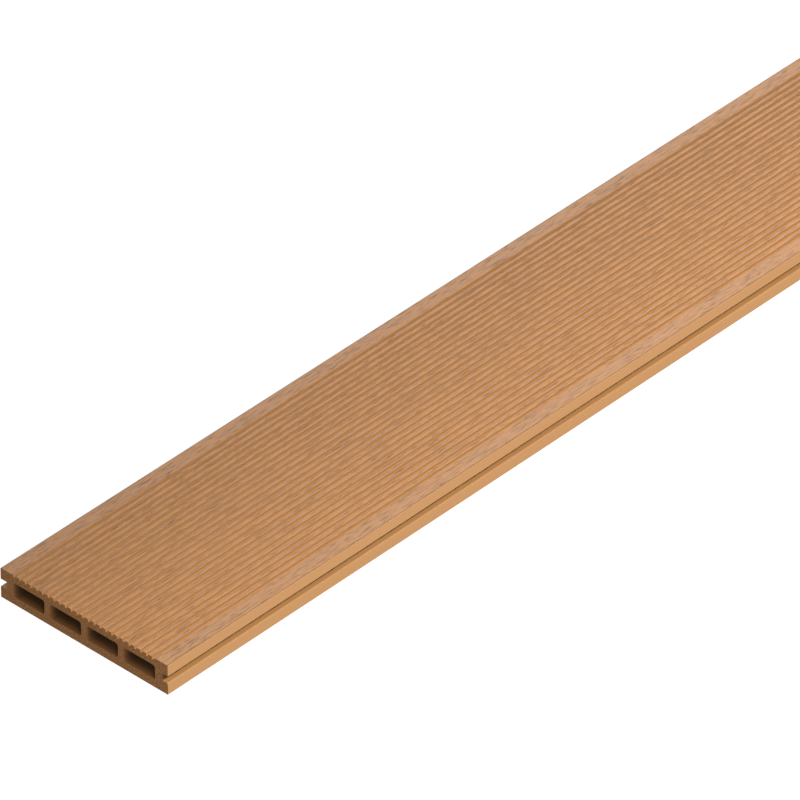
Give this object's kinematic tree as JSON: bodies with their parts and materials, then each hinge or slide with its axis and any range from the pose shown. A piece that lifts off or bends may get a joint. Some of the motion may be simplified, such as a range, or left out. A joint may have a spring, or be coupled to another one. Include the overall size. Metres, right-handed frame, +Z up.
{
  "type": "decking board",
  "caption": "Long hollow decking board of extruded wood-plastic composite with a grooved, brushed walking face, open chambers and a clip slot along each side.",
  "frame": {"origin": "centre of the flat underside, midway along the length and the width", "axes": "+X across the width, +Y along the length away from the sawn end that the picture shows, +Z up out of the grooved walking face"},
  "size_m": [0.145, 2.2, 0.023],
  "materials": {
    "composite": "matte"
  },
  "bodies": {
    "root": {"decking_board": "composite"}
  },
  "joints": []
}
